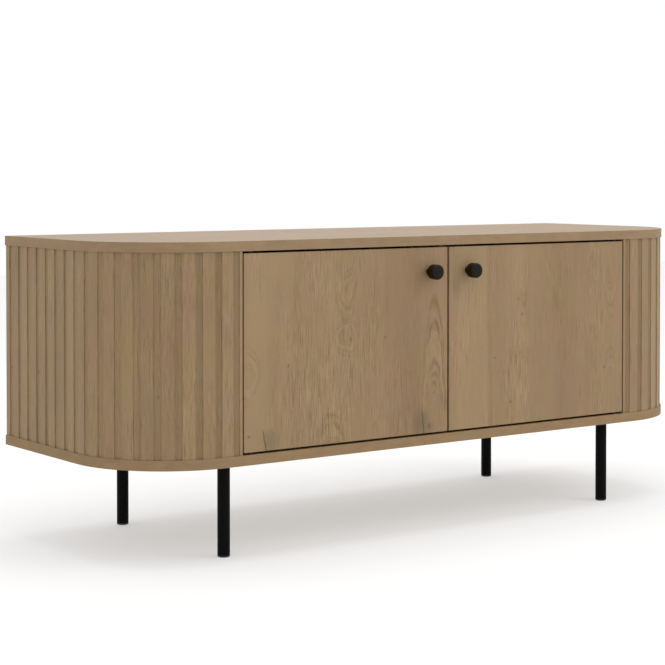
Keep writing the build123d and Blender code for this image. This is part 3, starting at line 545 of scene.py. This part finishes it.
def oak(name, run, seed, eyes=(), knots=(), cracks=(), smudges=(), bands=(), flutes=False,
        edged=False, rough=OAK_ROUGHNESS, shine=OAK_SHINE):
    """Matt grey-beige oak: tone bands, arches, streaks, pores, knots and splits."""
    g = Graph(name)
    place = grain_axes(g, run)
    across, along = place
    tone, warmth = 0.5, 0.0
    if flutes:
        across, along, tone, warmth = ridge_lots(g, across, along, seed)

    sway = streaks(g, across, along, SWAY, seed)
    shiver = streaks(g, across, along, SHIVER, seed)
    flow = g.add(across, g.swing(sway, SWAY_REACH))
    drawn = g.add(flow, g.swing(shiver, SHIVER_REACH))
    lively = g.fade(streaks(g, across, along, LIVELY, seed), *LIVELY_SPAN)
    tone, lively, warmth = banded(g, flow, bands, tone, lively, warmth)

    patch = streaks(g, across, along, PATCH, seed)
    broad = streaks(g, flow, along, BROAD, seed)
    middling = streaks(g, flow, along, MIDDLING, seed)
    fine = streaks(g, drawn, along, FINE, seed)
    dark_line = g.fade(streaks(g, drawn, along, DARK_LINE, seed), *DARK_LINE_SPAN)
    pale_line = g.fade(streaks(g, drawn, along, PALE_LINE, seed), *PALE_LINE_SPAN)
    dark_pore = g.fade(streaks(g, flow, along, PORE, seed), *PORE_SPAN)
    tone = g.add(tone, g.swing(patch, PATCH_TONE), g.swing(broad, BROAD_TONE),
                 g.swing(middling, MIDDLING_TONE))
    lines = g.add(g.swing(fine, FINE_TONE), g.times(dark_line, DARK_LINE_TONE),
                  g.times(pale_line, PALE_LINE_TONE), g.times(dark_pore, PORE_TONE))
    tone = g.add(tone, TONE_LIFT, g.times(lines, lively))
    if eyes:
        tone = arched(g, across, along, flow, shiver, eyes, tone, seed)

    colour = oak_colour(g, across, along, tone, warmth, seed)
    colour = add_marks(g, *place, colour, knots, cracks, smudges)
    roughness = g.add(rough, g.swing(broad, BROAD_ROUGHNESS), g.times(dark_pore, PORE_ROUGHNESS))
    # shade painted into the groove floors, strongest near the doors
    if flutes:
        colour = g.blend(painted_groove_shade(g, place[0]), colour, GROOVE_SHADE_COLOUR)
    if edged:
        face = flat_face(g)
        colour = edge_band(g, face, colour, seed)
        roughness = g.add(roughness, g.times(g.minus(1.0, face), EDGE_DULLNESS))
    relief = g.minus(g.times(fine, FINE_RELIEF), g.times(dark_pore, PORE_RELIEF))
    normal = g.bump(relief, OAK_RELIEF_STRENGTH, OAK_RELIEF_HEIGHT)
    return g.finish(colour, roughness, normal, Specular_IOR_Level=shine)


# ---- other materials -----------------------------------------------------------------
def brighter(colour, times):
    """The same colour, lighter, and opaque."""
    return tuple(part * times for part in colour[:3]) + (1.0,)


def drawn_noise(g, scales):
    """Noise with a scale of its own along each axis."""
    point = g.vector(*(g.times(part, scale) for part, scale in zip(g.place(), scales)))
    return g.noise(point, 1.0, detail=3.0)


def black_coat(name, colour, rough, shine):
    """Satin black powder coat with a very fine orange peel."""
    g = Graph(name)
    point = g.vector(*g.place())
    peel = g.noise(point, COAT_PEEL, detail=2.0)
    cloud = g.noise(point, COAT_CLOUD, detail=3.0)
    clouded = g.blend(g.times(cloud, COAT_CLOUD_MOST), colour,
                      brighter(colour, COAT_CLOUD_BRIGHTER))
    roughness = g.add(rough, g.swing(cloud, 0.06))
    normal = g.bump(peel, strength=0.12, distance=GRAIN_HEIGHT)
    return g.finish(clouded, roughness, normal, Specular_IOR_Level=shine)


def zinc_steel(name):
    """Bright zinc plate, faintly streaked."""
    g = Graph(name)
    streak = drawn_noise(g, ZINC_STREAK)
    roughness = g.fade(streak, 0.2, 0.8, *ZINC_ROUGHNESS)
    normal = g.bump(streak, strength=0.15, distance=GRAIN_HEIGHT)
    return g.finish(g.ramp(streak, ZINC_STOPS), roughness, normal, Metallic=1.0)


def moulded(name, colour, rough):
    """Moulded plastic or rubber with a fine matt grain."""
    g = Graph(name)
    point = g.vector(*g.place())
    grit = g.noise(point, MOULDED_GRIT, detail=2.0)
    cloud = g.noise(point, MOULDED_CLOUD, detail=2.0)
    clouded = g.blend(cloud, colour, brighter(colour, MOULDED_CLOUD_BRIGHTER))
    roughness = g.add(rough, g.swing(grit, 0.08))
    normal = g.bump(grit, strength=0.2, distance=GRAIN_HEIGHT)
    return g.finish(clouded, roughness, normal)


def ferrite(name):
    """Sintered magnet: charcoal, speckled."""
    g = Graph(name)
    speck = g.noise(g.vector(*g.place()), MAGNET_SPECK, detail=3.0)
    normal = g.bump(speck, strength=0.3, distance=GRAIN_HEIGHT)
    return g.finish(g.ramp(speck, FERRITE_STOPS), 0.6, normal, Metallic=0.4)


def beech(name):
    """Raw beech dowel wood: short darker flecks along the grain."""
    g = Graph(name)
    fibre = drawn_noise(g, BEECH_FIBRE)
    normal = g.bump(fibre, strength=0.3, distance=BEECH_GRAIN_HEIGHT)
    return g.finish(g.ramp(fibre, BEECH_STOPS), 0.7, normal)


# ---- what each node wears ------------------------------------------------------------
def dress(material, *nodes):
    """Gives the nodes this material, and nothing else."""
    for name in nodes:
        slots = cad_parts[name].data.materials
        slots.clear()
        slots.append(material)


def dress_boards():
    """Oak for every board, each with its own piece of grain."""
    dress(oak("oak_top", "x", 2.0, edged=True, rough=TOP_ROUGHNESS, shine=TOP_SHINE),
          "top_panel")
    dress(oak("oak_bottom", "x", 5.0, edged=True), "bottom_panel")
    dress(oak("oak_left_door", "z", 9.0, LEFT_EYES, LEFT_KNOTS, LEFT_CRACKS, LEFT_SMUDGES,
              LEFT_BANDS), "left_door")
    dress(oak("oak_right_door", "z", 14.0, RIGHT_EYES, RIGHT_KNOTS, (), RIGHT_SMUDGES,
              RIGHT_BANDS), "right_door")
    dress(oak("oak_left_skin", "wrap", 21.0, knots=LEFT_SKIN_KNOTS, flutes=True),
          "left_fluted_side")
    dress(oak("oak_right_skin", "wrap", 27.0, flutes=True), "right_fluted_side")
    dress(oak("oak_uprights", "z_side", 33.0), "left_inner_side", "right_inner_side",
          "centre_partition")
    dress(oak("oak_shelves", "x", 37.0, edged=True), "left_shelf", "right_shelf")
    dress(oak("oak_back", "z", 42.0), "left_back_panel", "right_back_panel")


def dress_hardware():
    """Metal, plastic, rubber, magnet and dowel wood for the rest."""
    steel = zinc_steel("zinc_plate")
    coat = black_coat("black_powder_coat", COAT_BLACK, 0.45, 0.06)
    knob = black_coat("bronzed_black", KNOB_BRONZE, 0.40, 0.12)
    dark_steel = black_coat("black_oxide", OXIDE_BLACK, 0.40, 0.25)
    plastic = moulded("black_plastic", PLASTIC_BLACK, 0.5)
    nylon = moulded("black_nylon", NYLON_BLACK, 0.45)
    rubber = moulded("bumper_rubber", RUBBER_BLACK, 0.7)
    dress(steel, "confirmat_screws", "cam_bolts", "cam_locks", "back_panel_screws", "shelf_pins",
          "catch_screws", "leg_plate_screws")
    dress(dark_steel, "pivot_pins")
    dress(beech("beech"), "dowels")
    dress(rubber, "door_bumpers")
    for side in ("left", "right"):
        dress(steel, f"{side}_knob_screw", f"{side}_strike_plate", f"{side}_strike_screws")
        dress(knob, f"{side}_knob")
        dress(nylon, f"{side}_door_bushes")
        dress(plastic, f"{side}_magnet_catch")
        dress(ferrite(f"{side}_ferrite"), f"{side}_catch_magnet")
        for end in ("front", "rear"):
            dress(coat, f"{end}_{side}_leg", f"{end}_{side}_leg_plate")
            dress(plastic, f"{end}_{side}_leg_glide")


# ---- stage ---------------------------------------------------------------------------
def make_camera():
    """The camera that the object is seen through."""
    data = bpy.data.cameras.new("camera")
    data.sensor_width = SENSOR_MM
    data.lens = LENS_MM
    data.shift_y = SHIFT_DOWN
    data.clip_end = CLIP_END
    camera = bpy.data.objects.new("camera", data)
    camera.location = CAMERA_AT
    camera.rotation_euler = (CAMERA_PITCH, 0.0, CAMERA_TURN)
    bpy.context.scene.collection.objects.link(camera)
    bpy.context.scene.camera = camera


def make_area_light(name, at, watts, size):
    """A square soft light that faces the origin."""
    data = bpy.data.lights.new(name, "AREA")
    data.energy = watts
    data.size = size
    light = bpy.data.objects.new(name, data)
    light.location = at
    towards = -light.location.normalized()
    light.rotation_euler = towards.to_track_quat("-Z", "Y").to_euler()
    bpy.context.scene.collection.objects.link(light)


def make_sky():
    """Even white light from all round."""
    world = bpy.data.worlds.new("sky")
    world.use_nodes = True
    background = world.node_tree.nodes["Background"]
    background.inputs["Color"].default_value = WHITE
    background.inputs["Strength"].default_value = SKY_STRENGTH
    bpy.context.scene.world = world


def make_floor():
    """A plain pale floor, which is not part of the object."""
    half = FLOOR_SIZE / 2
    mesh = bpy.data.meshes.new("floor")
    corners = [(-half, -half, 0.0), (half, -half, 0.0), (half, half, 0.0), (-half, half, 0.0)]
    mesh.from_pydata(corners, [], [(0, 1, 2, 3)])
    floor = bpy.data.objects.new("floor", mesh)
    bpy.context.scene.collection.objects.link(floor)
    g = Graph("pale_floor")
    mesh.materials.append(g.finish(FLOOR_COLOUR, FLOOR_ROUGHNESS, Specular_IOR_Level=FLOOR_SHINE,
                                   Emission_Color=WHITE, Emission_Strength=FLOOR_GLOW))


dress_boards()
dress_hardware()
make_camera()
make_sky()
make_floor()
make_area_light("key", KEY_FROM, KEY_WATTS, KEY_SIZE)
make_area_light("overhead", TOP_FROM, TOP_WATTS, TOP_SIZE)
bpy.context.scene.view_settings.view_transform = "Standard"
